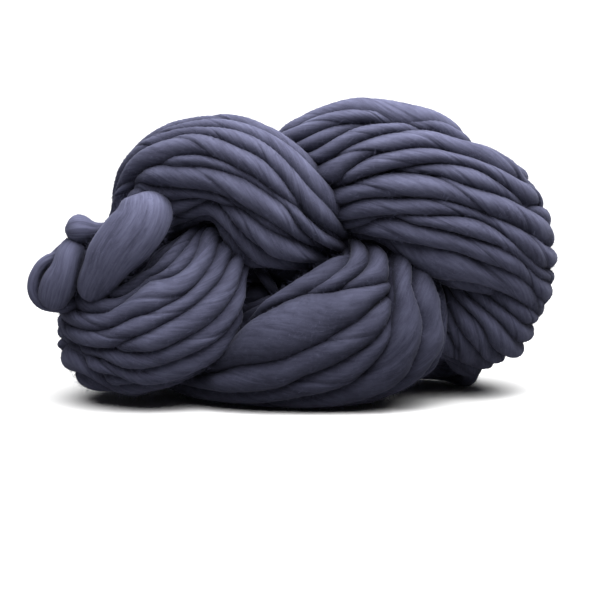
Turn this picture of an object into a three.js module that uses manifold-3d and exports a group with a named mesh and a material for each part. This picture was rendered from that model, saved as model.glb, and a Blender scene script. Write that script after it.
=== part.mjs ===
// A hank of very thick single-ply wool, as it is sold: a skein of about twenty turns, twisted into a
// rope, doubled back on itself and tucked through its own end, lying on its side.
//
// The whole hank is one solid. It is made of fat bundles of strands, each swept along a short table of
// sections, with one raised rib for each strand on its skin. Millimetres, +Z up, standing on Z = 0,
// +X to the right and -Y towards the viewer.
import * as THREE from "three";
import { mergeVertices } from "three/addons/utils/BufferGeometryUtils.js";
import Module from "manifold-3d";

// Driving dimensions
const YARN = 12; // thickness of one strand of the wool
const GROOVE = 2.7; // how far the groove between two strands lies below their crests
const STEP = 13; // distance between two rings along a bundle
const ROUND_SIDES = 12; // points round a strand that lies by itself
const FLOOR_BLOCK = 600; // side of the block that is cut away where the hank lies on the floor
const COLOUR = 0x515268; // slate blue

// Finer steps that measure a curve's length
const LENGTH_STEPS = 40; // between two rows of a table
const PERIMETER_STEPS = 96; // round a section
const SAME_POINT = 1e-4; // points closer than this are one point

// One row for each section of a bundle: its centre, its half height and half depth, how far its height
// leans over to the right, in degrees, and how far its strands have turned round the bundle, in turns.
const COLUMNS = ["x", "y", "z", "tall", "deep", "lean", "turn"];

// The fold at the right: a tall band of strands that comes out from under the top left bundle, fans out,
// goes round the right end and runs back behind.
const RIGHT_FOLD = {
  strands: 22,
  rows: [
    [-54, 16, 99, 15, 10, -25, 0],
    [-21, 10, 120, 28, 16, -25, 0],
    [13, -10, 133, 42, 23, -24, 0],
    [47, -27, 139, 48, 26, -12, 0],
    [83, -30, 128, 53, 27, -4, 0],
    [112, -26, 115, 51, 27, -8, 0],
    [129, -13, 103, 52, 26, -12, 0],
    [133, 7, 97, 54, 26, -12, 0],
    [121, 24, 98, 56, 26, -8, 0],
    [91, 31, 104, 54, 26, 0, 0],
    [51, 32, 108, 50, 24, 5, 0],
    [13, 29, 112, 38, 20, 5, 0],
    [-19, 24, 112, 24, 14, 0, 0],
  ],
};

// The low limb of the left fold: out from under the top bundle, down round the lower left, round the
// left end and up behind.
const LEFT_LOW = {
  strands: 20,
  rows: [
    [5, 4, 124, 24, 15, -55, 0],
    [-23, -12, 106, 30, 20, -62, 0],
    [-48, -31, 83, 35, 25, -62, 0],
    [-69, -41, 57, 38, 27, -35, 0],
    [-95, -38, 44, 37, 28, -8, 0],
    [-117, -22, 44, 36, 28, 3, 0],
    [-121, 4, 49, 35, 27, 8, 0],
    [-107, 28, 60, 33, 26, 5, 0],
    [-87, 36, 76, 28, 22, 0, 0],
    [-69, 34, 90, 20, 15, -10, 0],
  ],
};

// The high limb of the left fold: up over the left end from behind, across the top and down to the pit
// in the middle of the front.
const LEFT_HIGH = {
  strands: 19,
  rows: [
    [-61, 35, 91, 19, 15, -40, 0],
    [-81, 30, 103, 26, 22, -45, 0],
    [-90, 6, 117, 29, 25, -42, 0],
    [-75, -17, 136, 33, 27, -20, 0],
    [-43, -30, 144, 34, 27, 10, 0],
    [-21, -36, 130, 37, 26, 38, 0],
    [-5, -34, 110, 37, 23, 48, 0],
    [17, -22, 98, 24, 16, 52, 0],
    [35, 0, 90, 12, 10, 50, 0],
  ],
};

// The low front bundle: out from under the right fold, down and away to the left along the floor.
const FRONT_LOW = {
  strands: 20,
  rows: [
    [50, 8, 100, 22, 16, 95, 0],
    [51, -15, 87, 32, 21, 103, 0],
    [55, -33, 73, 41, 25, 116, -0.01],
    [48, -41, 56, 48, 27, 133, -0.03],
    [20, -42, 43, 46, 28, 151, -0.08],
    [-17, -39, 38, 40, 28, 170, -0.14],
    [-49, -27, 34, 33, 26, 180, -0.2],
    [-81, -4, 34, 26, 20, 180, -0.24],
    [-103, 16, 40, 18, 14, 180, -0.26],
  ],
};

// The back bundle: up from behind the lower left, over the back and down into the right fold.
const BACK_HIGH = {
  strands: 20,
  rows: [
    [-73, 8, 44, 18, 14, -60, 0],
    [-95, 24, 56, 30, 24, -50, 0],
    [-97, 38, 84, 34, 25, -38, 0],
    [-77, 43, 108, 36, 25, -20, 0],
    [-43, 43, 118, 37, 25, -3, 0],
    [-7, 45, 118, 37, 25, 8, 0],
    [27, 46, 110, 34, 24, 20, 0],
    [55, 40, 98, 26, 18, 30, 0],
    [77, 26, 86, 14, 10, 30, 0],
  ],
};

// The low back bundle: out from under the right fold, round the lower right and along the floor behind.
const BACK_LOW = {
  strands: 18,
  rows: [
    [67, 14, 108, 16, 12, 75, 0],
    [89, -3, 90, 25, 18, 70, 0],
    [107, -14, 66, 36, 21, 60, 0],
    [121, -8, 47, 42, 22, 45, 0],
    [126, 13, 39, 42, 21, 24, 0],
    [111, 36, 37, 41, 22, 8, 0],
    [81, 47, 38, 41, 25, 0, 0],
    [39, 48, 38, 41, 25, 0, 0],
    [-3, 48, 38, 41, 25, 0, 0],
    [-47, 42, 36, 37, 24, 0, 0],
    [-81, 28, 35, 28, 20, 0, 0],
    [-99, 14, 40, 16, 12, 0, 0],
  ],
};

// The inner turns, pressed together in the middle of the hank.
const INNER = {
  strands: 20,
  rows: [
    [-109, 6, 62, 20, 18, 0, 0],
    [-83, 8, 70, 38, 30, 0, 0],
    [-37, 7, 86, 56, 38, 0, 0],
    [23, 6, 90, 62, 38, 0, 0],
    [73, 4, 92, 58, 28, 0, 0],
    [109, 4, 88, 48, 22, 0, 0],
    [127, 2, 88, 20, 10, 0, 0],
  ],
};

// One turn at the left that has lost its twist and lies open and fat over the others.
const FAT_TURN = {
  strands: 1,
  rows: [
    [-82, -26, 130, 9, 9, -53, 0],
    [-87, -41, 121, 16, 13, -53, 0],
    [-99, -51, 103, 17, 14, -50, 0],
    [-113, -51, 85, 16, 13, -50, 0],
    [-124, -43, 72, 12, 10, -50, 0],
    [-127, -31, 65, 6, 6, -50, 0],
  ],
};

// The loose end: a stub that shows behind the fat turn.
const STUB = {
  strands: 1,
  rows: [
    [-107, -26, 104, 8, 8, 0, 0],
    [-118, -32, 109, 9, 9, 0, 0],
    [-130, -34, 109, 9, 9, 0, 0],
    [-137, -33, 108, 6, 6, 0, 0],
  ],
};

// The curl below the stub: a thick piece and the thinner turn that goes round it.
const CURL_MIDDLE = {
  strands: 1,
  rows: [
    [-115, -30, 98, 8, 8, -20, 0],
    [-129, -38, 94, 10, 10, -30, 0],
    [-139, -42, 86, 12, 11, -55, 0],
    [-142, -41, 75, 12, 10, -85, 0],
    [-140, -38, 67, 7, 7, -105, 0],
  ],
};
const CURL_OUTER = {
  strands: 1,
  rows: [
    [-123, -34, 99, 6, 6, 0, 0],
    [-139, -39, 99, 6, 6, 0, 0],
    [-151, -41, 91, 6, 6, -50, 0],
    [-155, -41, 77, 6, 6, -90, 0],
    [-151, -40, 65, 6, 6, -130, 0],
    [-140, -38, 60, 6, 6, -180, 0],
    [-125, -32, 61, 6, 6, -180, 0],
  ],
};

const BUNDLES = [
  RIGHT_FOLD,
  LEFT_LOW,
  LEFT_HIGH,
  FRONT_LOW,
  BACK_HIGH,
  BACK_LOW,
  INNER,
  FAT_TURN,
  STUB,
  CURL_MIDDLE,
  CURL_OUTER,
];

// The value of each column part of the way along a table, on a smooth curve through its rows.
function sectionAt(rows, place) {
  const last = rows.length - 1;
  const here = Math.min(Math.floor(place), last - 1);
  const t = place - here;
  const row = (i) => rows[Math.max(0, Math.min(last, i))];
  const section = {};
  COLUMNS.forEach((name, c) => {
    const [p0, p1, p2, p3] = [row(here - 1), row(here), row(here + 1), row(here + 2)].map((r) => r[c]);
    const slope = (p2 - p0) / 2;
    const bend = p0 - 2.5 * p1 + 2 * p2 - p3 / 2;
    const rest = p2 - p1 - slope - bend;
    section[name] = p1 + t * (slope + t * (bend + t * rest));
  });
  section.centre = new THREE.Vector3(section.x, section.y, section.z);
  return section;
}

// Places along a table, in rows, that lie about STEP apart.
function evenPlaces(rows) {
  const fine = LENGTH_STEPS * (rows.length - 1);
  const placeOf = (i) => (i * (rows.length - 1)) / fine;
  const lengths = [0];
  for (let i = 1; i <= fine; i++) {
    const centre = sectionAt(rows, placeOf(i)).centre;
    lengths.push(lengths[i - 1] + centre.distanceTo(sectionAt(rows, placeOf(i - 1)).centre));
  }
  const count = Math.round(lengths[fine] / STEP);
  const places = [];
  for (let n = 0, i = 0; n <= count; n++) {
    const wanted = (n * lengths[fine]) / count;
    while (i < fine && lengths[i] < wanted) i++;
    places.push(placeOf(i));
  }
  return places;
}

// A function that gives the angle on an ellipse for a share of its perimeter, from 0 to 1.
function evenAngles(tall, deep) {
  const angleOf = (i) => (i / PERIMETER_STEPS) * 2 * Math.PI;
  const lengths = [0];
  for (let i = 1; i <= PERIMETER_STEPS; i++) {
    const middle = angleOf(i - 0.5);
    lengths.push(lengths[i - 1] + Math.hypot(tall * Math.sin(middle), deep * Math.cos(middle)));
  }
  return (share) => {
    const wanted = (share - Math.floor(share)) * lengths[PERIMETER_STEPS];
    let i = 1;
    while (i < PERIMETER_STEPS && lengths[i] < wanted) i++;
    const part = (wanted - lengths[i - 1]) / (lengths[i] - lengths[i - 1]);
    return angleOf(i - 1 + part);
  };
}

// The ring of points round one section. A bundle has two points for each strand, one in the groove
// beside it and one on its crest, and a single strand is plainly round.
function ringPoints(section, along, strands) {
  const lean = THREE.MathUtils.degToRad(section.lean);
  const tall = new THREE.Vector3(Math.sin(lean), 0, Math.cos(lean));
  const deep = new THREE.Vector3().crossVectors(along, tall).normalize();
  const angleAt = evenAngles(section.tall, section.deep);
  const count = strands > 1 ? 2 * strands : ROUND_SIDES;
  const pitch = (Math.PI * (section.tall + section.deep)) / strands;
  const groove = strands > 1 ? GROOVE * Math.min(1, pitch / YARN) : 0;
  const ring = [];
  for (let k = 0; k < count; k++) {
    const angle = angleAt(k / count + section.turn);
    const [c, s] = [Math.cos(angle), Math.sin(angle)];
    const outward = new THREE.Vector3()
      .addScaledVector(tall, c * section.deep)
      .addScaledVector(deep, s * section.tall)
      .normalize();
    const point = section.centre.clone();
    point.addScaledVector(tall, c * section.tall).addScaledVector(deep, s * section.deep);
    if (k % 2 === 0) point.addScaledVector(outward, -groove);
    ring.push(point);
  }
  return ring;
}

// A closed bundle: rings of points along its table, joined up, with a point closing each end.
function bundleGeometry({ strands, rows }) {
  const sections = evenPlaces(rows).map((place) => sectionAt(rows, place));
  const last = sections.length - 1;
  const rings = sections.map((section, i) => {
    const ahead = sections[Math.min(i + 1, last)].centre;
    const behind = sections[Math.max(i - 1, 0)].centre;
    return ringPoints(section, ahead.clone().sub(behind).normalize(), strands);
  });
  const around = rings[0].length;
  const points = [...rings.flat(), sections[0].centre, sections[last].centre];
  const [start, end] = [points.length - 2, points.length - 1];
  const faces = [];
  for (let k = 0; k < around; k++) {
    const next = (k + 1) % around;
    faces.push(start, next, k, end, last * around + k, last * around + next);
    for (let i = 0; i < last; i++) {
      const [a, b] = [i * around + k, i * around + next];
      faces.push(a, b, a + around, b, b + around, a + around);
    }
  }
  const geometry = new THREE.BufferGeometry().setFromPoints(points);
  geometry.setIndex(faces);
  return geometry;
}

const wasm = await Module();
wasm.setup();

function solidOf(geometry) {
  const bare = geometry.toNonIndexed();
  bare.deleteAttribute("normal");
  bare.deleteAttribute("uv");
  const merged = mergeVertices(bare, SAME_POINT);
  return new wasm.Manifold(
    new wasm.Mesh({
      numProp: 3,
      vertProperties: new Float32Array(merged.attributes.position.array),
      triVerts: new Uint32Array(merged.index.array),
    }),
  );
}

function geometryOf(solid) {
  const mesh = solid.getMesh();
  const geometry = new THREE.BufferGeometry();
  geometry.setAttribute("position", new THREE.BufferAttribute(new Float32Array(mesh.vertProperties), 3));
  geometry.setIndex(new THREE.BufferAttribute(new Uint32Array(mesh.triVerts), 1));
  return geometry;
}

// The bundles joined into one solid, and pressed flat where it lies on the floor.
function hankSolid() {
  const joined = BUNDLES.map((bundle) => solidOf(bundleGeometry(bundle))).reduce((all, one) => all.add(one));
  const below = new THREE.BoxGeometry(FLOOR_BLOCK, FLOOR_BLOCK, FLOOR_BLOCK);
  below.translate(0, 0, -FLOOR_BLOCK / 2);
  return joined.subtract(solidOf(below));
}

const wool = new THREE.MeshStandardMaterial({ color: COLOUR, roughness: 0.9, metalness: 0 });
const hank = new THREE.Mesh(geometryOf(hankSolid()), wool);
hank.name = "hank";

// The origin is under the middle of the hank's box.
const middle = new THREE.Box3().setFromObject(hank).getCenter(new THREE.Vector3());
hank.position.set(-middle.x, -middle.y, 0);

const group = new THREE.Group();
group.add(hank);

export default group;
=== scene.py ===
# %% [markdown]
# # A hank of very thick wool
#
# The real thing is one long strand of unspun wool, about 12 mm thick and only lightly twisted. It is
# wound into a ring of some twenty turns, the ring is twisted until it doubles back on itself, and its
# end is tucked through. It lies on its side.
#
# This lesson dresses the plain solid of that hank. Every turn that shows becomes a strand of its own: a
# flat grid, rolled up and twisted the way the mill rolls a ribbon of fibres into yarn. The hank's sizes
# are written in millimetres, and become Blender's metres when a mesh is made.

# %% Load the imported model
import math

import bmesh
import bpy
import numpy as np
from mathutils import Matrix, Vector
from mathutils.bvhtree import BVHTree


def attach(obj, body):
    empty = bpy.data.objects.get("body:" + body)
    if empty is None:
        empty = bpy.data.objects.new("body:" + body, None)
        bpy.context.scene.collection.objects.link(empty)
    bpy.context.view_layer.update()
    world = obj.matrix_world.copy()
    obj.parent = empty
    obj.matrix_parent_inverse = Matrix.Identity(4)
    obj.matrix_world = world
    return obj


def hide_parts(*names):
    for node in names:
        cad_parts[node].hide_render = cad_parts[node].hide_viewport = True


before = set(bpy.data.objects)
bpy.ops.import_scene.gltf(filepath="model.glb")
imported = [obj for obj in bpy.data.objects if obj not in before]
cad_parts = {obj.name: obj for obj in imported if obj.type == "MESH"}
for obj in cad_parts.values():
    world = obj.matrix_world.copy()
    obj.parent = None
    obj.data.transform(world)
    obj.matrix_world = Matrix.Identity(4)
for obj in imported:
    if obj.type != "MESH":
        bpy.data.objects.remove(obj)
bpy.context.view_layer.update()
MM = 0.001  # one millimetre in metres

# %% [markdown]
# ## Camera
#
# The photo looks at the long side of the hank from a little above, through a long lens, so far and near
# strands have nearly the same size. A camera could be aimed with a Track To constraint, but an angle and
# a distance are easier to read and to change.

# %% Camera
ELEVATION = math.radians(9)
DISTANCE = 1.5  # metres
AIM = Vector((0.0026, 0.012, 0.0577))
PHOTO_WIDTH = 600  # pixels
PIXEL = 0.625 * MM  # what one pixel of the photo covers at the aim
SENSOR = 36

lens = bpy.data.cameras.new("camera")
lens.sensor_width = SENSOR
lens.lens = SENSOR * DISTANCE / (PHOTO_WIDTH * PIXEL)
camera = bpy.data.objects.new("camera", lens)
camera.location = AIM + DISTANCE * Vector((0, -math.cos(ELEVATION), math.sin(ELEVATION)))
camera.rotation_euler = (math.pi / 2 - ELEVATION, 0, 0)
bpy.context.scene.collection.objects.link(camera)
bpy.context.scene.camera = camera
print("lens, in mm:", round(lens.lens, 1))

# %% [markdown]
# ## Floor and light
#
# The hank lies on pale paper under a very wide soft light. The paper could bend up behind the hank, but
# the camera looks down on it everywhere, so one large flat sheet is enough. A sun lamp with a wide disc
# stands for a lit ceiling: it lights the far paper as brightly as the near paper, so the picture is white
# to its edges. A softbox hangs low over the hank, so its top is brighter than its foot. White paper
# would also throw much light back on the lower sides of the wool, which the photo doesn't have, so the
# paper is darker for the light that it throws back.

# %% Paper
PAPER_REACH = 14  # metres from the middle to each edge
PAPER_TONE = (0.2, 1)  # what it throws back on the wool, and what is seen


def plain_material(name, colour, roughness):
    """A material of one plain colour."""
    material = bpy.data.materials.new(name)
    material.use_nodes = True
    shader = material.node_tree.nodes["Principled BSDF"]
    shader.inputs["Base Color"].default_value = (*colour, 1)
    shader.inputs["Roughness"].default_value = roughness
    return material


bm = bmesh.new()
bmesh.ops.create_grid(bm, x_segments=1, y_segments=1, size=PAPER_REACH)
sheet = bpy.data.meshes.new("paper")
bm.to_mesh(sheet)
bm.free()
pale_paper = plain_material("pale_paper", (1, 1, 1), 0.9)
tree = pale_paper.node_tree
ray = tree.nodes.new("ShaderNodeLightPath")
tone = tree.nodes.new("ShaderNodeMapRange")
tone.inputs["To Min"].default_value, tone.inputs["To Max"].default_value = PAPER_TONE
tree.links.new(ray.outputs["Is Camera Ray"], tone.inputs["Value"])
tree.links.new(tone.outputs["Result"], tree.nodes["Principled BSDF"].inputs["Base Color"])

paper = bpy.data.objects.new("paper", sheet)
paper.data.materials.append(pale_paper)
bpy.context.scene.collection.objects.link(paper)
print("paper faces:", len(paper.data.polygons))

# %% Lights
CEILING = Vector((0.05, -0.1, 1))  # the way to the middle of the wide light
CEILING_WIDTH = math.radians(90)  # how wide it looks from the hank
CEILING_STRENGTH = 5.6
LAMP_PLACE = Vector((0.12, -0.13, 0.47))
LAMP_TARGET = Vector((0.06, 0, 0.1))
LAMP_SIZE = 0.3
LAMP_POWER = 2.75
FILL = 0.02

wide = bpy.data.lights.new("ceiling", "SUN")
wide.energy = CEILING_STRENGTH
wide.angle = CEILING_WIDTH
ceiling = bpy.data.objects.new("ceiling", wide)
ceiling.rotation_euler = CEILING.to_track_quat("Z", "Y").to_euler()

near = bpy.data.lights.new("lamp", "AREA")
near.energy = LAMP_POWER
near.size = LAMP_SIZE
lamp = bpy.data.objects.new("lamp", near)
lamp.location = LAMP_PLACE
lamp.rotation_euler = (LAMP_PLACE - LAMP_TARGET).to_track_quat("Z", "Y").to_euler()
for light in (ceiling, lamp):
    bpy.context.scene.collection.objects.link(light)

world = bpy.data.worlds.new("studio")
world.use_nodes = True
world.node_tree.nodes["Background"].inputs["Color"].default_value = (1, 1, 1, 1)
world.node_tree.nodes["Background"].inputs["Strength"].default_value = FILL
bpy.context.scene.world = world
bpy.context.scene.view_settings.view_transform = "Standard"
print("lights:", ceiling.name, lamp.name)

# %% [markdown]
# ## How the hank is wound
#
# A hank shows a handful of fat bundles, each of about twenty strands that run side by side. Each bundle
# is a short table: a row for each section, with its centre, its half height and half depth, how far its
# height leans to the right in degrees, and how far its strands have turned round it. The solid in the
# part's source was made from the same tables, so the strands lie on its skin. Only the first row of
# left_high and the last row of left_low lie deeper here, so that no strand's end shows at the back.

# %% Tables of the bundles, in millimetres
X, Y, Z, TALL, DEEP, LEAN, TURN = range(7)  # the columns
SHIFT = (-0.339, -1.792, 0)  # brings the middle of the hank's box over the origin

BUNDLES = {
    # The tall band that fans out from the middle, goes round the right end and runs back behind.
    "right_fold": (22, [
        [-54, 16, 99, 15, 10, -25, 0], [-21, 10, 120, 28, 16, -25, 0], [13, -10, 133, 42, 23, -24, 0],
        [47, -27, 139, 48, 26, -12, 0], [83, -30, 128, 53, 27, -4, 0], [112, -26, 115, 51, 27, -8, 0],
        [129, -13, 103, 52, 26, -12, 0],
        [133, 7, 97, 54, 26, -12, 0], [121, 24, 98, 56, 26, -8, 0], [91, 31, 104, 54, 26, 0, 0],
        [51, 32, 108, 50, 24, 5, 0], [13, 29, 112, 38, 20, 5, 0], [-19, 24, 112, 24, 14, 0, 0],
    ]),
    # Down round the lower left, round the left end and up behind.
    "left_low": (20, [
        [5, 4, 124, 24, 15, -55, 0], [-23, -12, 106, 30, 20, -62, 0], [-48, -31, 83, 35, 25, -62, 0],
        [-69, -41, 57, 38, 27, -35, 0], [-95, -38, 44, 37, 28, -8, 0], [-117, -22, 44, 36, 28, 3, 0],
        [-121, 4, 49, 35, 27, 8, 0], [-107, 28, 60, 33, 26, 5, 0], [-87, 36, 76, 28, 22, 0, 0],
        [-67, 22, 94, 16, 12, -10, 0],
    ]),
    # Up over the left end from behind, across the top and down to the pit in the middle.
    "left_high": (19, [
        [-66, 28, 99, 15, 12, -40, 0], [-81, 30, 103, 26, 22, -45, 0], [-90, 6, 117, 29, 25, -42, 0],
        [-75, -17, 136, 33, 27, -20, 0], [-43, -30, 144, 34, 27, 10, 0], [-21, -36, 130, 37, 26, 38, 0],
        [-5, -34, 110, 37, 23, 48, 0], [17, -22, 98, 24, 16, 52, 0], [35, 0, 90, 12, 10, 50, 0],
    ]),
    # Out from under the right fold, down and away to the left along the floor.
    "front_low": (20, [
        [50, 8, 100, 22, 16, 95, 0], [51, -15, 87, 32, 21, 103, 0], [55, -33, 73, 41, 25, 116, -0.01],
        [48, -41, 56, 48, 27, 133, -0.03], [20, -42, 43, 46, 28, 151, -0.08],
        [-17, -39, 38, 40, 28, 170, -0.14], [-49, -27, 34, 33, 26, 180, -0.2],
        [-81, -4, 34, 26, 20, 180, -0.24], [-103, 16, 40, 18, 14, 180, -0.26],
    ]),
    # Up from behind the lower left, over the back and down into the right fold.
    "back_high": (20, [
        [-73, 8, 44, 18, 14, -60, 0], [-95, 24, 56, 30, 24, -50, 0], [-97, 38, 84, 34, 25, -38, 0],
        [-77, 43, 108, 36, 25, -20, 0], [-43, 43, 118, 37, 25, -3, 0], [-7, 45, 118, 37, 25, 8, 0],
        [27, 46, 110, 34, 24, 20, 0], [55, 40, 98, 26, 18, 30, 0], [77, 26, 86, 14, 10, 30, 0],
    ]),
    # Out from under the right fold, round the lower right and along the floor behind.
    "back_low": (18, [
        [67, 14, 108, 16, 12, 75, 0], [89, -3, 90, 25, 18, 70, 0], [107, -14, 66, 36, 21, 60, 0],
        [121, -8, 47, 42, 22, 45, 0], [126, 13, 39, 42, 21, 24, 0], [111, 36, 37, 41, 22, 8, 0],
        [81, 47, 38, 41, 25, 0, 0], [39, 48, 38, 41, 25, 0, 0], [-3, 48, 38, 41, 25, 0, 0],
        [-47, 42, 36, 37, 24, 0, 0], [-81, 28, 35, 28, 20, 0, 0], [-99, 14, 40, 16, 12, 0, 0],
    ]),
    # The turns pressed together in the middle, which show in the crevices.
    "inner_turns": (20, [
        [-109, 6, 62, 20, 18, 0, 0], [-83, 8, 70, 38, 30, 0, 0], [-37, 7, 86, 56, 38, 0, 0],
        [23, 6, 90, 62, 38, 0, 0], [73, 4, 92, 58, 28, 0, 0], [109, 4, 88, 48, 22, 0, 0],
        [127, 2, 88, 20, 10, 0, 0],
    ]),
}
print("bundles:", ", ".join(BUNDLES))

# %% [markdown]
# ## Finding a place on a bundle's skin
#
# A strand's route is easiest to say in the bundle's own terms: how far along the table, in rows, and how
# far round the bundle, as a share from 0 to 1. Two helpers turn that into a point. The rows are joined
# by a smooth curve, and the shares are spread evenly along the section's edge, so that strands with
# equal shares are equally wide.

# %% Helpers for a bundle's skin
EDGE_STEPS = 72  # steps that measure the way round a section
GLANCE = 0.05  # rows ahead and behind that say which way a bundle runs


def unit(vectors):
    """The same directions with length one."""
    return vectors / np.linalg.norm(vectors, axis=-1, keepdims=True)


def row_at(rows, places):
    """The table's values at many places along it, on a smooth curve through the rows."""
    rows = np.asarray(rows, float)
    last = len(rows) - 1
    here = np.clip(np.floor(places).astype(int), 0, last - 1)
    t = (places - here)[:, None]
    before, start = rows[np.clip(here - 1, 0, last)], rows[here]
    end, after = rows[here + 1], rows[np.clip(here + 2, 0, last)]
    slope = (end - before) / 2
    bend = before - 2.5 * start + 2 * end - after / 2
    rest = end - start - slope - bend
    return start + t * (slope + t * (bend + t * rest))


def angle_at(values, shares):
    """The angle on each section's ellipse that lies at a share of the way round its edge."""
    steps = np.linspace(0, 2 * math.pi, EDGE_STEPS + 1)
    middles = (steps[1:] + steps[:-1]) / 2
    pieces = np.hypot(values[:, TALL, None] * np.sin(middles), values[:, DEEP, None] * np.cos(middles))
    lengths = np.concatenate([np.zeros((len(values), 1)), np.cumsum(pieces, axis=1)], axis=1)
    turned = (shares + values[:, TURN]) % 1
    return np.array([np.interp(s * row[-1], row, steps) for s, row in zip(turned, lengths)])


def skin_at(rows, places, shares):
    """Points on a bundle's skin, and the centres of their sections, in millimetres."""
    values = row_at(rows, places)
    last = len(rows) - 1
    ahead = row_at(rows, np.minimum(places + GLANCE, last))[:, :3]
    behind = row_at(rows, np.maximum(places - GLANCE, 0))[:, :3]
    lean = np.radians(values[:, LEAN])
    tall = np.stack([np.sin(lean), np.zeros_like(lean), np.cos(lean)], axis=1)
    deep = unit(np.cross(ahead - behind, tall))
    angle = angle_at(values, shares)[:, None]
    centre = values[:, :3] + SHIFT
    reach = tall * np.cos(angle) * values[:, TALL, None] + deep * np.sin(angle) * values[:, DEEP, None]
    return centre + reach, centre


# %% [markdown]
# ## Creases that the photo shows
#
# The front of the hank has its own pattern: strands fan out, crowd together and slip under each other.
# The creases between them were read from the photo, a few pixels each, and they get their place
# on the hank by looking at the bundle through the camera: a ray through the pixel meets the bundle's
# skin, and where it meets it says how far along and how far round the crease lies there.

# %% Creases in pixels of the photo: bundle, number of the crease, its points
SEEN = {
    "right_fold": {
        0: [(358, 105), (372, 108), (387, 113), (413, 114), (440, 116)],
        1: [(304, 135), (331, 122), (372, 116), (400, 117), (430, 118)],
        2: [(311, 151), (336, 134), (357, 124), (380, 120), (410, 119)],
        3: [(319, 165), (346, 146), (382, 132), (403, 128), (430, 126), (465, 136), (487, 141)],
        4: [(330, 190), (352, 167), (372, 155), (413, 147), (430, 146), (471, 155), (502, 166), (517, 175)],
        5: [(360, 183), (381, 172), (402, 166), (436, 161), (476, 166), (512, 185), (533, 201)],
        6: [(330, 194), (352, 184), (377, 174), (420, 174), (441, 175), (471, 185), (502, 193), (528, 205)],
        7: [(336, 212), (357, 201), (392, 200), (430, 199), (461, 204), (502, 218), (533, 231), (548, 245)],
        8: [(343, 226), (372, 219), (430, 217), (471, 219), (497, 230), (517, 246), (545, 271)],
        9: [(355, 231), (385, 221), (430, 229), (481, 241), (512, 253), (527, 264), (542, 279)],
        10: [(346, 240), (372, 241), (411, 249), (455, 255), (481, 265), (522, 280), (542, 303)],
        11: [(384, 248), (403, 268), (432, 280), (457, 284), (486, 291), (512, 303), (532, 320)],
    },
    "back_low": {
        4: [(459, 287), (481, 307), (499, 322)],
        5: [(455, 300), (471, 315), (481, 325), (489, 338), (491, 347)],
        6: [(454, 324), (463, 338), (477, 355), (483, 365)],
        7: [(450, 342), (454, 352), (453, 373)],
    },
    "left_high": {
        2: [(270, 141), (290, 159), (311, 184), (328, 200)],
        3: [(145, 143), (172, 133), (193, 130), (225, 139), (265, 159), (295, 192), (308, 210)],
        4: [(157, 161), (187, 153), (215, 159), (251, 175), (282, 197), (312, 220), (318, 227)],
        5: [(142, 165), (172, 165), (203, 167), (232, 174), (258, 186), (290, 210)],
        6: [(131, 184), (162, 188), (203, 193), (231, 203), (271, 224), (302, 245), (312, 250)],
        7: [(213, 205), (240, 213), (262, 228), (285, 240), (310, 254), (322, 258)],
        8: [(208, 208), (222, 217), (232, 228), (243, 240), (262, 255)],
    },
    "left_low": {
        17: [(199, 227), (198, 243), (186, 264), (169, 275), (147, 278)],
        16: [(217, 232), (219, 245), (212, 262), (203, 275), (188, 292), (157, 308), (131, 317), (106, 329),
             (80, 330)],
        15: [(229, 256), (229, 268), (220, 282), (193, 307), (152, 330), (121, 343), (106, 350), (86, 351)],
        14: [(245, 262), (244, 278), (239, 293), (220, 319), (186, 339), (157, 353), (121, 354), (109, 350)],
        13: [(250, 270), (252, 284), (251, 300), (240, 322), (220, 344), (193, 357), (162, 370), (126, 373),
             (98, 362)],
        12: [(252, 310), (234, 346), (212, 368), (162, 388), (131, 387), (121, 378)],
        11: [(78, 352), (86, 367), (103, 388)],
    },
    "front_low": {
        10: [(341, 249), (326, 258), (305, 270), (290, 279), (275, 288), (257, 298)],
        9: [(348, 257), (338, 268), (328, 275), (318, 283), (300, 290), (283, 297), (262, 306)],
        8: [(370, 258), (360, 268), (348, 277), (335, 287), (318, 291), (300, 294), (281, 300), (260, 310)],
        7: [(391, 258), (392, 270), (388, 280), (371, 284), (348, 288), (326, 293), (303, 293), (281, 303),
            (262, 314)],
        6: [(393, 260), (394, 284), (381, 301), (353, 324), (317, 344), (271, 363), (236, 374), (205, 383)],
        5: [(394, 262), (395, 285), (394, 305), (390, 322), (381, 338), (360, 353), (328, 371), (297, 382),
            (287, 391)],
        4: [(395, 262), (396, 285), (396, 303), (391, 338), (379, 362), (355, 386), (340, 392)],
        3: [(414, 288), (425, 322), (422, 350), (409, 377), (401, 387)],
        2: [(438, 289), (450, 316), (447, 344), (432, 369), (413, 389)],
    },
}

# Strands that dip into a dark gap: number, first and last row, depth in millimetres, and the rows in
# which they come up again.
SUNK = {
    "left_low": [
        (9, 0, 2.4, 16, 0.8), (10, 0, 2.4, 16, 0.8), (11, 0, 2.5, 15, 0.8), (12, 0, 2.0, 16, 0.5),
        (13, 0, 1.55, 11, 0.35), (14, 0, 1.5, 11, 0.35), (15, 0, 1.5, 11, 0.35), (16, 0, 1.25, 10, 0.35),
        (17, 0, 1.1, 9, 0.35),
    ],
    "front_low": [
        (2, 0, 0.9, 9, 0.4), (3, 0, 0.9, 9, 0.4), (4, 0, 0.9, 13, 0.4), (5, 0, 0.9, 14, 0.4),
        (6, 0, 0.9, 14, 0.4), (7, 0, 0.9, 14, 0.4), (8, 0, 0.9, 13, 0.4), (9, 0, 0.9, 12, 0.4),
        (6, 5.7, 8, 7, 1.0), (7, 5.2, 8, 10, 1.2), (8, 5.3, 8, 10, 0.6), (9, 5.3, 8, 10, 0.6),
        (10, 0, 8, 12, 0.8), (11, 0, 8, 12, 0.8), (12, 0, 8, 10, 0.8),
    ],
    "back_low": [
        (5, 3.2, 6.2, 5, 0.8), (6, 3.2, 6.4, 10, 0.8), (7, 3.2, 6.6, 12, 0.8), (8, 3.2, 6.6, 8, 0.8),
    ],
}

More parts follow.
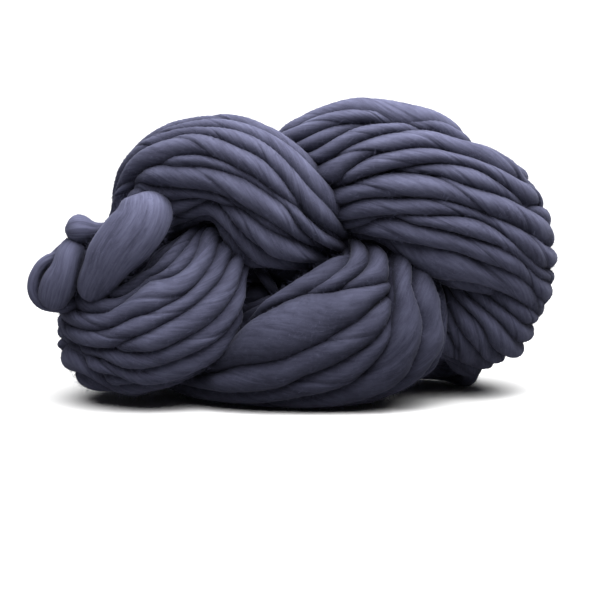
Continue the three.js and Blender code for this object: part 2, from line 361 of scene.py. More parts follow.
# %% From a pixel to a place on a bundle
PHOTO_MIDDLE = PHOTO_WIDTH / 2
SKIN_STEP = 0.05  # rows between two lines of the skin that the rays meet
SKIN_SIDES = 240
LINE_STEPS = 60  # rays for one crease

axes = camera.rotation_euler.to_matrix()
to_right, upwards, ahead = axes.col[0], axes.col[1], -axes.col[2]


def ray_of(pixel):
    """The way from the camera through a pixel of the photo."""
    right = (pixel[0] - PHOTO_MIDDLE) * PIXEL
    up = (PHOTO_MIDDLE - pixel[1]) * PIXEL
    return (ahead * DISTANCE + to_right * right + upwards * up).normalized()


def skin_tree(rows):
    """A mesh of a bundle's skin that rays can meet, and the place of each of its lines."""
    places = np.arange(0, len(rows) - 1 + SKIN_STEP / 2, SKIN_STEP)
    rounds = [skin_at(rows, places, np.full(len(places), s / SKIN_SIDES))[0] for s in range(SKIN_SIDES)]
    corners = np.array(rounds).transpose(1, 0, 2).reshape(-1, 3) * MM
    quads = []
    for i in range(len(places) - 1):
        for j in range(SKIN_SIDES):
            k = (j + 1) % SKIN_SIDES
            low, high = i * SKIN_SIDES, (i + 1) * SKIN_SIDES
            quads.append((low + j, low + k, high + k, high + j))
    return BVHTree.FromPolygons([Vector(c) for c in corners], quads), places


def on_skin(tree, places, line, expected):
    """Places and shares of a crease on a bundle's skin, from its pixels."""
    pixels = row_at(line, np.linspace(0, len(line) - 1, LINE_STEPS))
    found = []
    for pixel in pixels:
        face = tree.ray_cast(camera.location, ray_of(pixel))[2]
        if face is not None:
            share = (face % SKIN_SIDES + 0.5) / SKIN_SIDES
            found.append((places[face // SKIN_SIDES] + SKIN_STEP / 2, share - round(share - expected)))
    found.sort()
    found = np.array(found)
    return found[:, 0], found[:, 1]


# %% [markdown]
# ## Where the strands lie
#
# Real turns are never laid evenly: they wander, crowd and spread. It is simplest to lay the creases
# between them, because then every strand fills the room between its two creases and no gap opens. A
# crease that shows in the photo is held there. The others start at an even share, give way to the held
# ones beside them, and wander on a smooth seeded curve.

# %% Creases between the strands
YARN = 12  # millimetres, thickness of the wool
FINE = 240  # places along a bundle where its creases are worked out
WANDER = 0.22  # how far a crease strays, in strand widths
LET_GO = 1.2  # rows past its last pixel in which a held crease goes free
CALM = 0.93  # how much of its neighbours' shift a free crease takes
LEAST_ROOM = 0.12  # of an even strand's width
SMOOTHED = 4  # places on each side that smooth a held crease
SETTLING = 80  # rounds in which the free creases settle
SPREADING = 30  # rounds in which creases that lie too close move apart


def smooth_noise(rng, count, at):
    """A smooth seeded curve between about -1 and 1, with that many bumps, read at places from 0 to 1."""
    knots = rng.uniform(-1, 1, (count + 3, 1))
    return row_at(knots, np.asarray(at) * (count + 1) + 0.5)[:, 0]


def softened(values, reach):
    """Each value as the mean of those around it."""
    padded = np.pad(values, reach, mode="edge")
    return np.convolve(padded, np.ones(2 * reach + 1) / (2 * reach + 1), mode="valid")


def eased(past):
    """From 1 down to 0, with soft ends, while past goes from 0 to 1."""
    hold = np.clip(1 - past, 0, 1)
    return hold * hold * (3 - 2 * hold)


def creases(rng, name, strands, rows):
    """The share of every crease at many places along a bundle."""
    places = np.linspace(0, len(rows) - 1, FINE)
    even = np.arange(strands)[:, None] / strands
    moved = np.zeros((strands, FINE))
    held = np.zeros((strands, FINE))
    tree, lines_at = skin_tree(rows)
    for number, line in SEEN.get(name, {}).items():
        at, share = on_skin(tree, lines_at, np.array(line, float), number / strands)
        moved[number] = softened(np.interp(places, at, share), SMOOTHED) - number / strands
        held[number] = eased(np.maximum(at[0] - places, places - at[-1]) / LET_GO)
    turned = (moved * held).sum() / max(1, held.sum())
    moved = (moved - turned) * held
    settled = moved.copy()
    for _ in range(SETTLING):
        beside = (np.roll(settled, 1, axis=0) + np.roll(settled, -1, axis=0)) / 2
        settled = moved + (1 - held) * CALM * beside
    strayed = np.array([smooth_noise(rng, len(rows), places / places[-1]) for _ in range(strands)])
    lines = even + turned + settled + (1 - held) * WANDER * strayed / strands
    for _ in range(SPREADING):
        after = np.roll(lines, -1, axis=0)
        after[-1] += 1
        short = np.maximum(0, LEAST_ROOM / strands - (after - lines)) / 2
        lines = lines - short + np.roll(short, 1, axis=0)
    print(f"{name}: turned by {turned:.3f}, strands {strands * np.diff(lines, axis=0).min():.2f}",
          f"to {strands * np.diff(lines, axis=0).max():.2f} wide")
    return places, np.vstack([lines, lines[:1] + 1])


# %% [markdown]
# ## One strand
#
# A mill makes this wool by rolling a flat ribbon of combed fibres and giving it a light twist. The edges
# of the ribbon stay as one or two soft creases that wind round the strand like the stripe on a barber's
# pole. A curve with a round bevel could stand for a strand, but it can't have those creases, so a strand
# starts as a grid, which is rolled up and twisted like the real ribbon. The grid's own UVs then run
# along and round the strand, and the fibres in the material follow the twist.

# %% Stations along a strand
STATION = 3.8  # millimetres between two rings of a strand
ROUNDNESS = 1.25  # thickness of a strand for its width
HALF_THICK = (5.6, 10)  # millimetres, the least and the most
PROUD = 0.15  # how far a wide strand stands out of the skin, for each millimetre of extra width
PROUD_LIMITS = (-1, 1.6)  # millimetres, of that
LEAST_WIDTH = 0.62  # of the yarn's thickness, even where a strand has less room
BUMP_EVERY = 45  # millimetres from one bump of a strand to the next
BUMP_THICK = 0.06  # of its thickness
BUMP_HIGH = 0.6  # millimetres that it rises and sinks
SLIP_UNDER = 0.6  # of the yarn's thickness, where neighbours crowd a strand out
SQUEEZED = 0.45  # of the yarn's thickness: with less room a strand goes down as well
SQUEEZED_SPAN = 0.3  # of the yarn's thickness, from there to as deep as it goes
SQUEEZED_DEPTH = 0.4  # of the yarn's thickness
HIDDEN = 30  # millimetres under the solid's skin where nothing of a strand shows any more

hank_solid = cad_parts["hank"]
cad_corners = [v.co / MM for v in hank_solid.data.vertices]
cad_skin = BVHTree.FromPolygons(cad_corners, [tuple(p.vertices) for p in hank_solid.data.polygons])


def depth_under_skin(points):
    """How far each point lies from the solid's skin, in millimetres."""
    return np.array([cad_skin.find_nearest(p)[3] for p in points])


def even_stations(step, points, *others):
    """Points and values that go with them, spread evenly along the line that they follow."""
    lengths = np.concatenate([[0], np.cumsum(np.linalg.norm(np.diff(points, axis=0), axis=1))])
    wanted = np.linspace(0, lengths[-1], max(4, round(lengths[-1] / step) + 1))

    def spread(values):
        values = np.asarray(values, float)
        if values.ndim == 1:
            return np.interp(wanted, lengths, values)
        return np.stack([np.interp(wanted, lengths, column) for column in values.T], axis=1)

    return [spread(points), wanted] + [spread(values) for values in others]


def sunk_at(name, strand, places):
    """How deep a strand lies in a gap, in millimetres, at many places along its bundle."""
    depth = np.zeros(len(places))
    for number, first, last, most, slope in SUNK.get(name, []):
        if number == strand:
            past = np.maximum(first - places, places - last) / slope
            depth = np.maximum(depth, most * eased(past))
    return depth


def strand_stations(rng, rows, places, low, high, rank, sunk):
    """Everything about one strand at each of its rings. None if no part of it comes near the skin."""
    start, centre = skin_at(rows, places, low)
    end, _ = skin_at(rows, places, high)
    crest, _ = skin_at(rows, places, (low + high) / 2)
    crest, length, room, centre, sunk = even_stations(STATION, crest, end - start, centre, sunk)
    along = unit(np.gradient(crest, axis=0))
    across = room - (room * along).sum(1, keepdims=True) * along
    width = np.linalg.norm(across, axis=1)
    out = unit(np.cross(along, across))
    if ((crest - centre) * out).sum() < 0:
        out = -out
    shown = np.flatnonzero(depth_under_skin(crest) < HIDDEN)
    if len(shown) < 4:
        return None
    part = slice(max(0, shown[0] - 1), shown[-1] + 2)
    crest, length, width, along, out, sunk = (a[part] for a in (crest, length, width, along, out, sunk))
    share = (length - length[0]) / (length[-1] - length[0])
    bumps = max(2, round((length[-1] - length[0]) / BUMP_EVERY))
    crowd = np.clip(1 - width / YARN, 0, 1)
    half_width = np.maximum(width, LEAST_WIDTH * YARN) / 2
    half_thick = np.clip(ROUNDNESS * half_width, *HALF_THICK)
    half_thick = half_thick * (1 + BUMP_THICK * smooth_noise(rng, bumps, share))
    proud = np.clip(PROUD * (width - YARN), *PROUD_LIMITS) + BUMP_HIGH * smooth_noise(rng, bumps, share)
    squeezed = np.clip((SQUEEZED - width / YARN) / SQUEEZED_SPAN, 0, 1)
    sink = half_thick - proud + (SLIP_UNDER * rank * crowd + SQUEEZED_DEPTH * squeezed) * YARN + sunk
    return {
        "centre": crest - out * sink[:, None],
        "side": np.cross(out, along),
        "out": out,
        "half_width": half_width,
        "half_thick": half_thick,
        "length": length,
        "share": share,
    }


# %% Rolling a grid into a strand
SIDES = 24  # faces round a strand
LAY = (24, 31)  # degrees between the fibres and the strand
CREASE_DEPTH = 0.17  # of the strand's thickness, where the ribbon's first edge shows
STEP_HEIGHT = 0.09  # how far one edge of the ribbon stands above the other
UV_METRE = 0.1  # metres of strand for one unit of U
PRESSED = 1.0  # millimetres above the floor where wool starts to be pressed flat
# Painted shade: the wool's colour is made darker in the deepest twist crease by this much.
CREASE_PAINTED_SHADE = 0.4  # how much less open the wool counts in the deepest twist crease
CROWDED = 0.28  # how far the points round a strand crowd towards the ribbon's edges
FIRST_EDGE = (0.5, 0.7)  # how strong its crease is, and how much that varies
SECOND_EDGE = (0.1, 0.6)
SHARP = 4  # how narrow the creases are
SWELL = 1.02  # of the half sizes, away from the creases
TWIST_EVERY = 60  # millimetres from one change of the twist to the next
TWIST_STRAY = 0.4  # radians


def roll_up(stations, angle, swell, shift):
    """A bmesh of one strand: a grid rolled up round its stations. angle and swell have a row for each
    ring and a column for each point round it. shift keeps the pattern of each strand its own."""
    rings, sides = angle.shape[0], angle.shape[1] - 1
    bm = bmesh.new()
    uv_layer = bm.loops.layers.uv.new("along_round")
    open_layer = bm.verts.layers.float.new("openness")
    bmesh.ops.create_grid(bm, x_segments=rings - 1, y_segments=sides, size=0.5, calc_uvs=True)
    wide = np.cos(angle) * swell * stations["half_width"][:, None]
    high = np.sin(angle) * swell * stations["half_thick"][:, None]
    points = (
        stations["centre"][:, None]
        + wide[..., None] * stations["side"][:, None]
        + high[..., None] * stations["out"][:, None]
    ) * MM
    points[..., 2] = (points[..., 2] + np.hypot(points[..., 2], PRESSED * MM)) / 2
    # Painted shade: openness falls in the twist creases and furrows, so the material darkens the wool's
    # colour there.
    openness = np.clip(1 - (1 - swell) / CREASE_DEPTH * CREASE_PAINTED_SHADE, 0, 1)
    for vert, point, shown in zip(bm.verts, points.transpose(1, 0, 2).reshape(-1, 3), openness.T.ravel()):
        vert.co = point
        vert[open_layer] = shown
    metres = stations["length"] * MM / UV_METRE
    for face in bm.faces:
        face.smooth = True
        for loop in face.loops:
            uv = loop[uv_layer].uv
            uv.x = metres[round(uv.x * (rings - 1))] + shift
    bmesh.ops.remove_doubles(bm, verts=bm.verts, dist=0.0005 * MM)
    ends = [edge for edge in bm.edges if edge.is_boundary]
    bmesh.ops.holes_fill(bm, edges=ends, sides=0)
    bmesh.ops.recalc_face_normals(bm, faces=bm.faces)
    return bm


def twisted(rng, stations):
    """The angle and the swelling of a lightly twisted strand, for roll_up."""
    round_share = np.linspace(0, 1, SIDES + 1)
    fibre = 2 * math.pi * round_share - CROWDED * np.sin(4 * math.pi * round_share)
    radius = (stations["half_width"] + stations["half_thick"]) / 2
    turn = math.tan(math.radians(rng.uniform(*LAY))) / radius
    length, share = stations["length"], stations["share"]
    bumps = max(2, round((length[-1] - length[0]) / TWIST_EVERY))
    twist = np.cumsum(turn * np.gradient(length)) + TWIST_STRAY * smooth_noise(rng, bumps, share)
    angle = fibre[None] + twist[:, None] + rng.uniform(0, 2 * math.pi)
    first, second = (
        np.clip(mean + varies * smooth_noise(rng, bumps, share), 0, 1)[:, None]
        for mean, varies in (FIRST_EDGE, SECOND_EDGE)
    )
    edge = (1 - np.abs(np.sin(fibre))) ** SHARP
    near_first = np.cos(fibre) > 0
    crease = CREASE_DEPTH * edge * np.where(near_first, first, second)
    ramp = (fibre / math.pi) % 1 - 0.5
    ramp[[0, -1]] = 0
    step = STEP_HEIGHT * ramp * first
    return angle, SWELL - crease + step


def piece_of(name, strands):
    """One object that holds all of these strands, in the scene."""
    whole = bmesh.new()
    for bm in strands:
        part = bpy.data.meshes.new("part")
        bm.to_mesh(part)
        bm.free()
        whole.from_mesh(part)
        bpy.data.meshes.remove(part)
    mesh = bpy.data.meshes.new(name)
    whole.to_mesh(mesh)
    whole.free()
    piece = bpy.data.objects.new(name, mesh)
    bpy.context.scene.collection.objects.link(piece)
    return piece


# %% [markdown]
# ## Wool
#
# Close up, the wool is combed fibres: fine streaks that run along the strand, lighter and darker, with a
# faint sheen where light grazes them. The streaks are a noise stretched along the strand's own UVs, so
# they turn with it. They are a node group, because the twisted strands, the open turn and the fuzz all
# use them with values of their own.

# %% Node group for combed fibres
def link(tree, output, socket):
    tree.links.new(output, socket)


def node(tree, kind, **inputs):
    """A node with some of its inputs set."""
    made = tree.nodes.new(kind)
    for name, value in inputs.items():
        made.inputs[name.replace("_", " ")].default_value = value
    return made


def combed_fibres():
    """A group that gives a streak mask and a height for the bump."""
    group = bpy.data.node_groups.new("combed_fibres", "ShaderNodeTree")
    sockets = group.interface
    sockets.new_socket("Vector", in_out="INPUT", socket_type="NodeSocketVector")
    for name, value in (("Along", 3.0), ("Round", 9.0)):
        sockets.new_socket(name, in_out="INPUT", socket_type="NodeSocketFloat").default_value = value
    for name in ("Streaks", "Cloud", "Height"):
        sockets.new_socket(name, in_out="OUTPUT", socket_type="NodeSocketFloat")
    start = group.nodes.new("NodeGroupInput")
    end = group.nodes.new("NodeGroupOutput")

    scale = group.nodes.new("ShaderNodeCombineXYZ")
    link(group, start.outputs["Along"], scale.inputs["X"])
    link(group, start.outputs["Round"], scale.inputs["Y"])
    stretched = group.nodes.new("ShaderNodeVectorMath")
    stretched.operation = "MULTIPLY"
    link(group, start.outputs["Vector"], stretched.inputs[0])
    link(group, scale.outputs["Vector"], stretched.inputs[1])

    coarse = node(group, "ShaderNodeTexNoise", Scale=1.0, Detail=3.0, Roughness=0.6)
    fine = node(group, "ShaderNodeTexNoise", Scale=3.6, Detail=4.0, Roughness=0.65)
    for noise in (coarse, fine):
        link(group, stretched.outputs["Vector"], noise.inputs["Vector"])
    cloud = node(group, "ShaderNodeTexNoise", Scale=2.2, Detail=2.0)
    link(group, start.outputs["Vector"], cloud.inputs["Vector"])

    both = group.nodes.new("ShaderNodeMath")
    both.operation = "ADD"
    link(group, coarse.outputs["Fac"], both.inputs[0])
    link(group, fine.outputs["Fac"], both.inputs[1])
    half = group.nodes.new("ShaderNodeMath")
    half.operation = "MULTIPLY"
    half.inputs[1].default_value = 0.5
    link(group, both.outputs["Value"], half.inputs[0])

    link(group, half.outputs["Value"], end.inputs["Streaks"])
    link(group, cloud.outputs["Fac"], end.inputs["Cloud"])
    link(group, half.outputs["Value"], end.inputs["Height"])
    return group


fibres = combed_fibres()
print("node group:", fibres.name)

# %% Materials of the wool
DARK = (0.054, 0.055, 0.092)
LIGHT = (0.11, 0.114, 0.182)
# Painted shade: the next colour is painted into the wool where it lies deep in a crease or gap, fading out
# between the two open shares after it.
PAINTED_SHADE = (0.009, 0.009, 0.017)  # deep in a crease
OPENNESS = (0.28, 0.95)  # open shares between deep in a crease and free
FINISH = {
    "Roughness": 0.85,
    "Specular IOR Level": 0.09,
    "Sheen Weight": 0.11,
    "Sheen Roughness": 0.45,
    "Sheen Tint": (0.75, 0.78, 1, 1),
}


def wool_material(name, along, around, bump, dark=DARK, light=LIGHT, rolled_up=True):
    """Combed wool: streaked colour with shade painted in where the wool lies less open, a soft bump and a
    light sheen. Wool that wasn't rolled up from a grid takes its streaks from its place on the hank."""
    material = bpy.data.materials.new(name)
    material.use_nodes = True
    tree = material.node_tree
    shader = tree.nodes["Principled BSDF"]
    for socket, value in FINISH.items():
        shader.inputs[socket].default_value = value

    if rolled_up:
        place = tree.nodes.new("ShaderNodeUVMap")
        place.uv_map = "along_round"
    else:
        place = tree.nodes.new("ShaderNodeTexCoord")
    group = tree.nodes.new("ShaderNodeGroup")
    group.node_tree = fibres
    group.inputs["Along"].default_value = along
    group.inputs["Round"].default_value = around
    link(tree, place.outputs["UV" if rolled_up else "Object"], group.inputs["Vector"])

    tone = node(tree, "ShaderNodeMapRange", From_Min=0.36, From_Max=0.64)
    link(tree, group.outputs["Streaks"], tone.inputs["Value"])
    cloud = node(tree, "ShaderNodeMapRange", From_Min=0.3, From_Max=0.7, To_Min=-0.2, To_Max=0.2)
    link(tree, group.outputs["Cloud"], cloud.inputs["Value"])
    mixed = tree.nodes.new("ShaderNodeMath")
    mixed.operation = "ADD"
    mixed.use_clamp = True
    link(tree, tone.outputs["Result"], mixed.inputs[0])
    link(tree, cloud.outputs["Result"], mixed.inputs[1])
    ramp = tree.nodes.new("ShaderNodeValToRGB")
    ramp.color_ramp.elements[0].color = (*dark, 1)
    ramp.color_ramp.elements[1].color = (*light, 1)
    link(tree, mixed.outputs["Value"], ramp.inputs["Fac"])
    # Painted shade: where the wool lies less open, its colour goes towards the painted shade colour, on top
    # of the shade that the light casts.
    openness = tree.nodes.new("ShaderNodeAttribute")
    openness.attribute_name = "openness"
    shade = tree.nodes.new("ShaderNodeMix")
    shade.data_type = "RGBA"
    shade.inputs["A"].default_value = (*PAINTED_SHADE, 1)
    opened = node(tree, "ShaderNodeMapRange", From_Min=OPENNESS[0], From_Max=OPENNESS[1])
    link(tree, openness.outputs["Fac"], opened.inputs["Value"])
    link(tree, opened.outputs["Result"], shade.inputs["Factor"])
    link(tree, ramp.outputs["Color"], shade.inputs["B"])
    link(tree, shade.outputs["Result"], shader.inputs["Base Color"])

    relief = node(tree, "ShaderNodeBump", Strength=bump, Distance=0.6 * MM)
    link(tree, group.outputs["Height"], relief.inputs["Height"])
    link(tree, relief.outputs["Normal"], shader.inputs["Normal"])
    return material


twisted_wool = wool_material("twisted_wool", along=3, around=9, bump=0.5)
OPEN_PAINTED_LIGHT = 1.15  # painted light: the loose turns take a lighter copy of the wool's colours
lit_open_wool = wool_material(
    "lit_open_wool", along=2.5, around=18, bump=0.55,
    dark=[OPEN_PAINTED_LIGHT * value for value in DARK], light=[OPEN_PAINTED_LIGHT * value for value in LIGHT],
)
print("materials:", twisted_wool.name, lit_open_wool.name)

# %% [markdown]
# ## The bundles
#
# Every bundle is one piece that holds its strands. Strands that crowd where the bundle narrows slip
# under their neighbours by turns, as in the real hank, which is what rank is for.

# %% Strands of every bundle
RANKS = (0, 1, 0.4, 0.8)  # how readily each strand in turn slips under


def bundle_piece(name, strands, rows, seed):
    """All the strands of one bundle."""
    rng = np.random.default_rng(seed)
    places, lines = creases(rng, name, strands, rows)
    made = []
    for k in range(strands):
        sunk = sunk_at(name, k, places)
        stations = strand_stations(rng, rows, places, lines[k], lines[k + 1], RANKS[k % len(RANKS)], sunk)
        if stations is None:
            continue
        angle, swell = twisted(rng, stations)
        made.append(roll_up(stations, angle, swell, shift=rng.uniform(0, 100)))
    piece = piece_of(name, made)
    piece.data.materials.append(twisted_wool)
    print(f"{name}: {len(made)} strands, {len(piece.data.polygons)} faces")
    return piece


pieces = [
    bundle_piece(name, strands, rows, seed)
    for seed, (name, (strands, rows)) in enumerate(BUNDLES.items(), start=1)
]

# %% [markdown]
# ## Loose turns at the left
#
# One turn has lost its twist and lies open and fat over the others. Beside it the end of the wool pokes
# out as a stub, and a thinner turn curls round a thick one, with more wool behind them. A short strand
# also crosses the gap in the middle. A curve with a round bevel has no furrows, so they are rolled up
# from a grid as well, with several shallow furrows along the ribbon in place of the tight creases.

# %% Tables of the loose turns, in millimetres
LOOSE = {
    "fat_turn": [
        [-88, -36, 130, 14, 9], [-88, -43, 123, 16, 12], [-92, -48, 114, 16.6, 13],
        [-100, -50, 105, 17, 13], [-109, -50, 95, 15.5, 12.5], [-115, -48, 85, 13, 11.5],
        [-120.5, -45, 76, 11, 10], [-124.5, -40, 67.5, 8, 8.5],
    ],
    "stub": [
        [-100, -28, 108, 6, 7], [-112, -33, 107, 5.6, 6.5], [-121, -36, 107, 6.2, 7],
        [-129.5, -38, 108.6, 9.5, 10], [-138, -38, 108.6, 9.2, 9.5],
    ],
    "curl_middle": [
        [-130, -34, 101, 7, 7], [-134.5, -40, 95, 8.4, 9], [-137.5, -42, 85.5, 9.2, 10],
        [-142, -42, 76, 10.8, 10], [-146, -40, 67, 9.5, 9], [-148.5, -38, 61, 7, 7],
    ],
    "curl_outer": [
        [-133, -30, 92, 4.5, 4.5], [-143, -36, 91.5, 3.8, 4.5], [-149.5, -38, 89.5, 3.8, 4.5],
        [-154.3, -38, 84.5, 3.8, 4.5], [-157.3, -38, 77, 4, 5], [-157, -38, 70, 4, 5],
        [-152.5, -38, 64.4, 4.2, 5], [-145, -38, 62.8, 4.5, 5], [-137, -36, 63, 5, 5],
        [-126, -30, 65, 5, 5],
    ],
    "curl_back": [
        [-110, -20, 93, 14, 8], [-122, -23, 92, 16, 9], [-133, -26, 87, 15, 9], [-144, -28, 80, 13, 8],
        [-154.5, -31, 79, 10, 7],
    ],
    "gap_strand": [
        [-25, -18, 90, 3.2, 3.6], [-22, -31, 84.5, 3.4, 4], [-18, -36, 79, 3.4, 4], [-14, -36, 73, 3.2, 4],
        [-11, -34, 67.5, 3, 3.6], [-8, -29, 63, 3, 3.5],
    ],
}
WIDE, THICK = 3, 4  # the columns of the half sizes

# %% Loose turns
LOOSE_SIDES = 40
FURROWS = 7
FURROWED = (0.08, 0.92)  # shares of the way round between which the furrows lie
FURROW_WIDTH = 0.022  # of the way round
FURROW_STRAY = 0.05  # of the way round
FURROW_DEPTH = 0.05  # of the half sizes
FURROW_VARIES = (0.6, 0.4)  # how deep a furrow is on the whole, and how much that varies
FURROW_KNOTS = 3
LOOSE_TWIST = 0.7  # radians from end to end
CLOSED = 0.98  # how far the round ends close before they are filled
LOOSE_STATION = 2.5  # millimetres between two rings
TOWARDS_VIEWER = (0, -1, 0)


def loose_stations(rows):
    """Stations of a turn that lies by itself, with round ends."""
    places = np.linspace(0, len(rows) - 1, FINE)
    values = row_at(rows, places)
    centre, length, values = even_stations(LOOSE_STATION, values[:, :3] + SHIFT, values)
    along = unit(np.gradient(centre, axis=0))
    side = unit(np.cross(along, TOWARDS_VIEWER))
    ends = np.where(length < length[-1] / 2, values[0, WIDE], values[-1, WIDE])
    from_end = np.minimum(length, length[-1] - length) / ends
    rounding = np.sqrt(1 - np.clip(1 - from_end, 0, CLOSED) ** 2)
    return {
        "centre": centre,
        "side": side,
        "out": np.cross(side, along),
        "half_width": values[:, WIDE] * rounding,
        "half_thick": values[:, THICK] * rounding,
        "length": length,
        "share": length / length[-1],
    }


def furrowed(rng, stations):
    """The angle and the swelling of an open turn with shallow furrows along it, for roll_up."""
    share = stations["share"]
    round_share = np.linspace(0, 1, LOOSE_SIDES + 1)
    angle = 2 * math.pi * round_share[None] + LOOSE_TWIST * share[:, None] - math.pi / 2
    swell = np.ones_like(angle)
    mean, varies = FURROW_VARIES
    for place in np.linspace(*FURROWED, FURROWS):
        middle = place + FURROW_STRAY * smooth_noise(rng, FURROW_KNOTS, share)[:, None]
        depth = FURROW_DEPTH * (mean + varies * smooth_noise(rng, FURROW_KNOTS, share)[:, None])
        swell -= depth * np.exp(-(((round_share[None] - middle) / FURROW_WIDTH) ** 2))
    return angle, swell


def loose_piece(name, rows, seed):
    """One turn that lies by itself."""
    rng = np.random.default_rng(seed)
    stations = loose_stations(rows)
    angle, swell = furrowed(rng, stations)
    piece = piece_of(name, [roll_up(stations, angle, swell, shift=rng.uniform(0, 100))])
    # Painted light: the loose turns wear the lighter copy of the wool.
    piece.data.materials.append(lit_open_wool)
    print(f"{name}: {len(piece.data.polygons)} faces")
    return piece


pieces += [loose_piece(name, rows, seed) for seed, (name, rows) in enumerate(LOOSE.items(), start=31)]

# %% [markdown]
# ## How open the wool lies, and the shade painted from it
#
# Deep between two strands the wool looks nearly black, because hardly any light finds its way in and out
# again. Painting that by hand would take days. Here a few rays leave every point of the wool, and the
# share that gets away, kept as an attribute of the piece, says how open the point lies. From it the material
# paints shade into the wool's colour, darker where the point lies less open, on top of the shade that the
# light casts.

# %% Rays from every point
WAYS = 12  # rays from a point
REACH = 22 * MM  # a ray that gets this far is free
LIFT = 0.4 * MM  # where a ray starts, above the wool
ASLANT = (0.31, 0.17, 0.93)  # hardly any point of the wool faces just this way
BLURS = 2  # times that neighbouring points share their values
OPENNESS_IN_PAINTED_SHADE = {"inner_turns": 0.6, "gap_strand": 0.5, "front_low": 0.7}  # turns that lie in the others' shade get a darker colour: painted shade


def ways_out(count):
    """Directions spread over the half sphere round +Z, denser near it, where more light comes from."""
    number = np.arange(count) + 0.5
    turn = number * math.pi * (1 + math.sqrt(5))
    flat = np.sqrt(number / count)
    return np.stack([np.cos(turn) * flat, np.sin(turn) * flat, np.sqrt(1 - number / count)], axis=1)


def read(values, name, width):
    """One kind of value of every vertex or edge, as an array."""
    array = np.empty(len(values) * width, int if name == "vertices" else float)
    values.foreach_get(name, array)
    return array.reshape(-1, width) if width > 1 else array


def paint_shade_from_rays(piece, tree, most):
    """Lower the openness of a piece's points, from which the material paints shade into the wool's colour,
    by what stands in the way of their rays.
    """
    mesh = piece.data
    points = read(mesh.vertices, "co", 3)
    normals = read(mesh.vertices, "normal", 3)
    side = unit(np.cross(normals, ASLANT))
    other = np.cross(normals, side)
    starts = (points + normals * LIFT).tolist()
    share = np.zeros(len(points))
    for a, b, c in ways_out(WAYS):
        ways = (side * a + other * b + normals * c).tolist()
        far = [tree.ray_cast(start, way, REACH)[3] for start, way in zip(starts, ways)]
        share += [1 if reach is None else reach / REACH for reach in far]
    share /= WAYS
    one, two = read(mesh.edges, "vertices", 2).T
    number = 1 + np.bincount(one, minlength=len(share)) + np.bincount(two, minlength=len(share))
    for _ in range(BLURS):
        beside = np.bincount(one, share[two], len(share)) + np.bincount(two, share[one], len(share))
        share = (share + beside) / number
    values = mesh.attributes["openness"].data
    values.foreach_set("value", most * share * read(values, "value", 1))
    print(f"{piece.name}: {share.mean():.2f} open")


wool_corners, wool_faces = [], []
for piece in pieces:
    first = len(wool_corners)
    wool_corners += [v.co.copy() for v in piece.data.vertices]
    wool_faces += [[first + i for i in p.vertices] for p in piece.data.polygons]
wool_tree = BVHTree.FromPolygons(wool_corners, wool_faces)
for piece in pieces:
    paint_shade_from_rays(piece, wool_tree, OPENNESS_IN_PAINTED_SHADE.get(piece.name, 1))

# %% [markdown]
# ## Fuzz
#
# Unspun wool never has a hard edge: loose fibres stand off it everywhere. Blender's own hair would not
# leave the file as a mesh, so one fibre is modelled as a thin three-sided cone and copied thousands of
# times with arrays. Each copy starts on a strand, leans the way that the fibres run and bends as it goes.

# %% One fibre
def fibre_shape(bends):
    """Corners and faces of a fibre of length one and radius one, pointing up to its tip."""
    bm = bmesh.new()
    bmesh.ops.create_cone(bm, cap_ends=True, segments=3, radius1=1, radius2=0, depth=1)
    bmesh.ops.translate(bm, verts=bm.verts, vec=(0, 0, 0.5))
    if bends:
        whole = bm.verts[:] + bm.edges[:] + bm.faces[:]
        bmesh.ops.bisect_plane(bm, geom=whole, plane_co=(0, 0, 0.5), plane_no=(0, 0, 1))
        bmesh.ops.triangulate(bm, faces=bm.faces)
    bmesh.ops.recalc_face_normals(bm, faces=bm.faces)
    bm.verts.index_update()
    corners = np.array([v.co for v in bm.verts])
    faces = np.array([[v.index for v in f.verts] for f in bm.faces])
    bm.free()
    print("fibre:", len(corners), "corners,", len(faces), "faces")
    return corners, faces


# %% Fibres that stand off the wool
ROOT_DEPTH = 5  # millimetres under the solid's skin where the last fibres stand
ROOTS_FROM = 0.45  # openness of the wool where fibres start to show
# Painted shade: a fibre takes the painted shade of the wool at its root, and less of it towards its tip.
TIP_OPENS = 0.2  # how much more open a fibre's tip lies than its root
FUZZ_PAINTED_LIGHT = (1.3, 1.2)  # painted light: the fibres take lighter copies of the darkest and the lightest wool, for the light that a single fibre lets through
SCATTER = 1.0 * MM  # how far a root strays from the middle of its face
ROOT_SUNK = 0.5 * MM  # how far a fibre starts inside the wool
SHORTEST = 0.5  # of the drawn length
SIDEWAYS = 0.6  # how far a fibre strays from the way of the others
BENDS = (0.3, 0.5)  # how far its tip bends outward and sideways, for its length
FUZZ = {
    # pieces, number of fibres, lengths and root radius in millimetres, slope against the wool, bends
    "down_right": (("right_fold", "back_high", "back_low"), 40000, (2, 5.5), 0.06, (0.4, 2.0), False),
    "down_left": (("left_low", "left_high", "front_low", *LOOSE), 40000, (2, 5.5), 0.06, (0.4, 2.0), False),
    "stray_fibres": (tuple(BUNDLES) + tuple(LOOSE), 9000, (5, 12), 0.045, (0.15, 0.9), True),
}


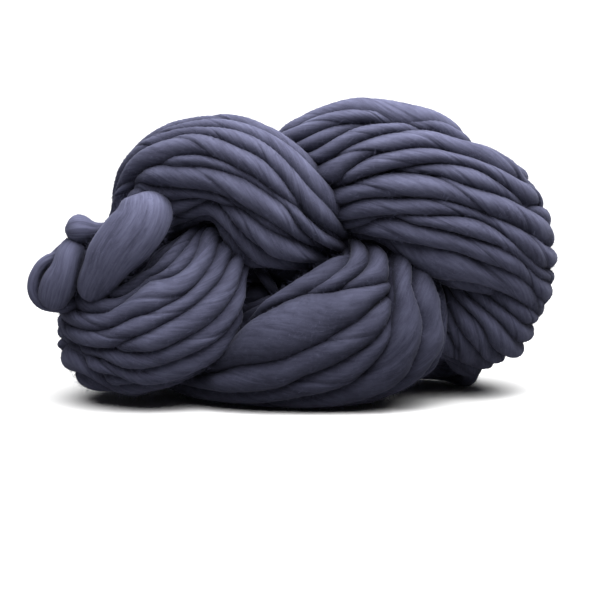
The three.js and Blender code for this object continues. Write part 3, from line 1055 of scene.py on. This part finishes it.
def roots_on(pieces, rng, count):
    """Random points on the open parts of some pieces, with the outward way, the way of the fibres and
    how open the wool lies there."""
    found = []
    for piece in pieces:
        mesh = piece.data
        corners = read(mesh.vertices, "co", 3)
        open_at = read(mesh.attributes["openness"].data, "value", 1)
        quads = np.array([f.vertices[:] for f in mesh.polygons if len(f.vertices) == 4])
        quads = quads[open_at[quads].mean(1) > ROOTS_FROM]
        one, two, three, four = (corners[quads[:, i]] for i in range(4))
        across = np.cross(three - one, four - two)
        area = np.linalg.norm(across, axis=1)
        keep = area > 0
        points = (one + two + three + four)[keep] / 4
        outs = across[keep] / area[keep, None]
        runs = (two - one + three - four)[keep]
        found.append((points, outs, runs, area[keep], open_at[quads].mean(1)[keep]))
    points, outs, runs, areas, opened = (np.concatenate(values) for values in zip(*found))
    chosen = rng.choice(len(points), count * 2, p=areas / areas.sum())
    points = points[chosen] + rng.normal(0, SCATTER, (len(chosen), 3))
    near = depth_under_skin(points / MM) < ROOT_DEPTH
    chosen, points = chosen[near][:count], points[near][:count]
    return points - outs[chosen] * ROOT_SUNK, outs[chosen], unit(runs[chosen]), opened[chosen]


def fuzz_piece(name, seed, where, count, lengths, radius, slopes, bends):
    """Loose fibres all over some pieces, as one mesh."""
    rng = np.random.default_rng(seed)
    roots, outs, runs, opened = roots_on([p for p in pieces if p.name in where], rng, count)
    count = len(roots)
    one = (count, 1)
    sides = np.cross(outs, runs)
    way = runs * rng.choice([-1, 1], one) + outs * rng.uniform(*slopes, one)
    way = unit(way + sides * rng.normal(0, SIDEWAYS, one))
    length = rng.uniform(*lengths, one) * rng.uniform(SHORTEST, 1, one) * MM
    outward, sideways = (rng.normal(0, most, one) for most in BENDS)
    bend = (outs * outward + sides * sideways) * length
    first = unit(np.cross(way, outs + 0.01))
    second = np.cross(way, first)
    shape, faces = fibre_shape(bends)
    along = shape[None, :, 2:]
    corners = roots[:, None] + (way * length)[:, None] * along + bend[:, None] * along**2
    corners += (first[:, None] * shape[None, :, :1] + second[:, None] * shape[None, :, 1:2]) * radius * MM
    corners[..., 2] = np.maximum(corners[..., 2], 0)
    copies = faces[None] + len(shape) * np.arange(count)[:, None, None]
    mesh = bpy.data.meshes.new(name)
    mesh.from_pydata(corners.reshape(-1, 3), [], copies.reshape(-1, 3))
    # Painted shade: each fibre's colour darkens with the openness of the wool at its root, less towards its
    # tip.
    openness = mesh.attributes.new("openness", "FLOAT", "POINT")
    opened = np.clip(opened[:, None] + TIP_OPENS * shape[None, :, 2], 0, 1)
    openness.data.foreach_set("value", opened.ravel())
    piece = bpy.data.objects.new(name, mesh)
    bpy.context.scene.collection.objects.link(piece)
    piece.data.materials.append(fuzz_wool)
    print(f"{name}: {count} fibres, {len(faces) * count} triangles")
    return piece


# Painted light: the fuzz takes lighter copies of the wool's colours.
fuzz_wool = wool_material(
    "fuzz_wool", along=400, around=400, bump=0,
    dark=[FUZZ_PAINTED_LIGHT[0] * value for value in DARK], light=[FUZZ_PAINTED_LIGHT[1] * value for value in LIGHT],
    rolled_up=False,
)
pieces += [fuzz_piece(name, seed, *facts) for seed, (name, facts) in enumerate(FUZZ.items(), start=61)]

# %% [markdown]
# ## Hand over
# ## The pieces in the hank's place
# Every piece rides on the hank's one body. Together they stand for
# the plain solid, which is hidden.

# %% Ride, replace and measure
for piece in pieces:
    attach(piece, "root")
    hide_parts("hank")

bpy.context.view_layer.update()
triangles = sum(len(p.vertices) - 2 for piece in pieces for p in piece.data.polygons)
print("triangles:", triangles)
